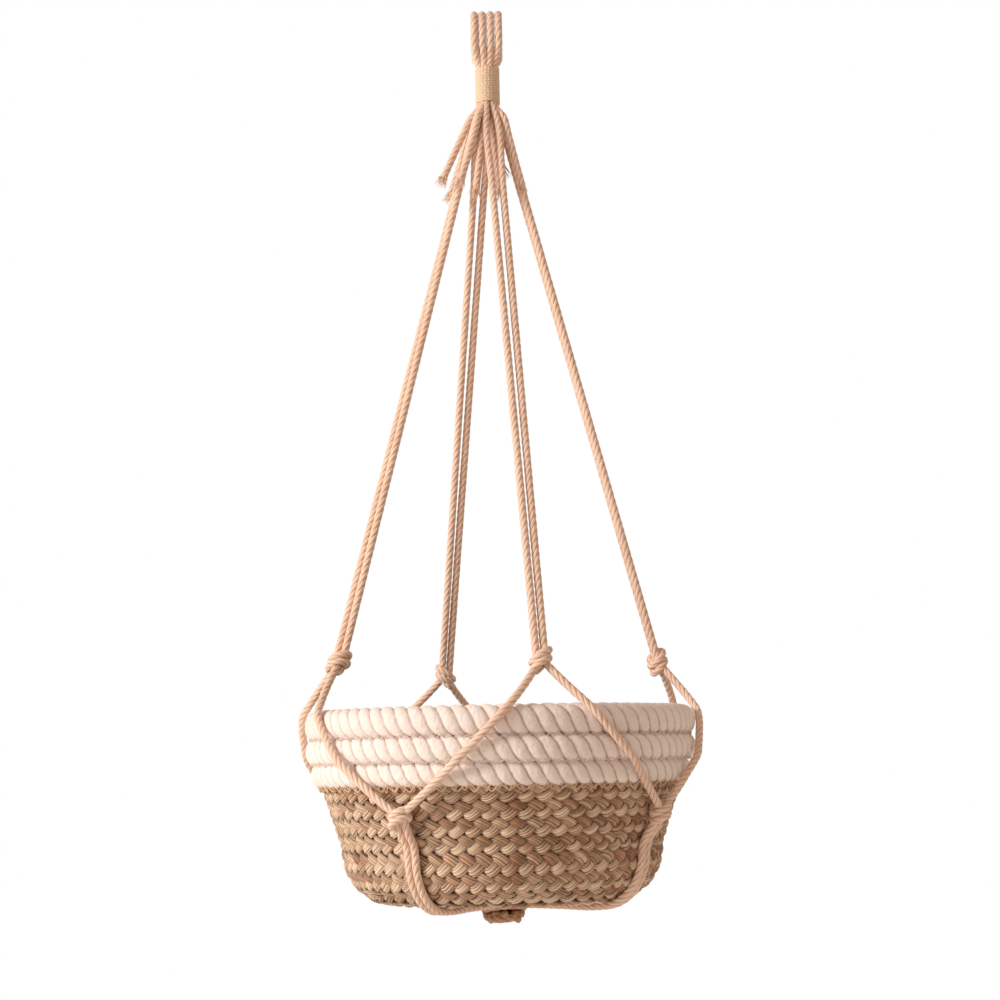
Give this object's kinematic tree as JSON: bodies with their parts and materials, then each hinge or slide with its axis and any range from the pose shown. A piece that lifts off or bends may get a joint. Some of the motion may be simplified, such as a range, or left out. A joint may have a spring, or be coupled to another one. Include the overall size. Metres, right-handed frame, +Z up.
{
  "type": "hanging planter",
  "caption": "Hanging planter: a knotted cotton-cord hanger whose sling cradles a round basket of white rope and plaited grass, with a loose plastic liner.",
  "frame": {"origin": "top of the hanging loop's eye, where the hook bears", "axes": "+Z up along the hanger, -Y towards the front"},
  "size_m": [0.2904, 0.2917, 0.6733],
  "materials": {
    "cotton_cord": "twisted natural cotton cord, matte, lightly fuzzy",
    "wrap_twine": "fine waxed cotton twine wound tight",
    "white_rope": "thick soft white twisted cotton rope",
    "plaited_seagrass": "dry plaited grass strands, slightly glossy fibres with dark creases",
    "straw_thread": "straw-coloured sewing strands",
    "liner_plastic": "thin matte dark plastic"
  },
  "bodies": {
    "planter": {"hanging_loop": "cotton_cord", "gathered_cords": "cotton_cord", "tail_ends": "cotton_cord", "bottom_knot": "cotton_cord", "whipping_wrap": "wrap_twine", "arm_cord_front_left": "cotton_cord", "sling_cord_front_left": "cotton_cord", "arm_cord_front_right": "cotton_cord", "sling_cord_front_right": "cotton_cord", "arm_cord_right_front": "cotton_cord", "sling_cord_right_front": "cotton_cord", "arm_cord_right_back": "cotton_cord", "sling_cord_right_back": "cotton_cord", "arm_cord_back_right": "cotton_cord", "sling_cord_back_right": "cotton_cord", "arm_cord_back_left": "cotton_cord", "sling_cord_back_left": "cotton_cord", "arm_cord_left_back": "cotton_cord", "sling_cord_left_back": "cotton_cord", "arm_cord_left_front": "cotton_cord", "sling_cord_left_front": "cotton_cord", "upper_knot_front": "cotton_cord", "upper_knot_right": "cotton_cord", "upper_knot_back": "cotton_cord", "upper_knot_left": "cotton_cord", "lower_knot_front_right": "cotton_cord", "cradle_cord_front_right_1": "cotton_cord", "cradle_cord_front_right_2": "cotton_cord", "lower_knot_back_right": "cotton_cord", "cradle_cord_back_right_1": "cotton_cord", "cradle_cord_back_right_2": "cotton_cord", "lower_knot_back_left": "cotton_cord", "cradle_cord_back_left_1": "cotton_cord", "cradle_cord_back_left_2": "cotton_cord", "lower_knot_front_left": "cotton_cord", "cradle_cord_front_left_1": "cotton_cord", "cradle_cord_front_left_2": "cotton_cord", "rim_rope_top": "white_rope", "rim_rope_middle": "white_rope", "rim_rope_lower": "white_rope", "border_stitching": "straw_thread", "plait_turn_1": "plaited_seagrass", "plait_turn_2": "plaited_seagrass", "plait_turn_3": "plaited_seagrass", "plait_turn_4": "plaited_seagrass", "plait_turn_5": "plaited_seagrass", "plait_turn_6": "plaited_seagrass", "plait_turn_7": "plaited_seagrass", "plait_turn_8": "plaited_seagrass", "base_plait": "plaited_seagrass"},
    "liner": {"liner": "liner_plastic", "liner_base": "liner_plastic"}
  },
  "joints": [
    {"name": "liner_lift", "type": "slide", "parent": "planter", "child": "liner", "axis": [0, 0, 1], "range_m": [0, 0.09]}
  ]
}
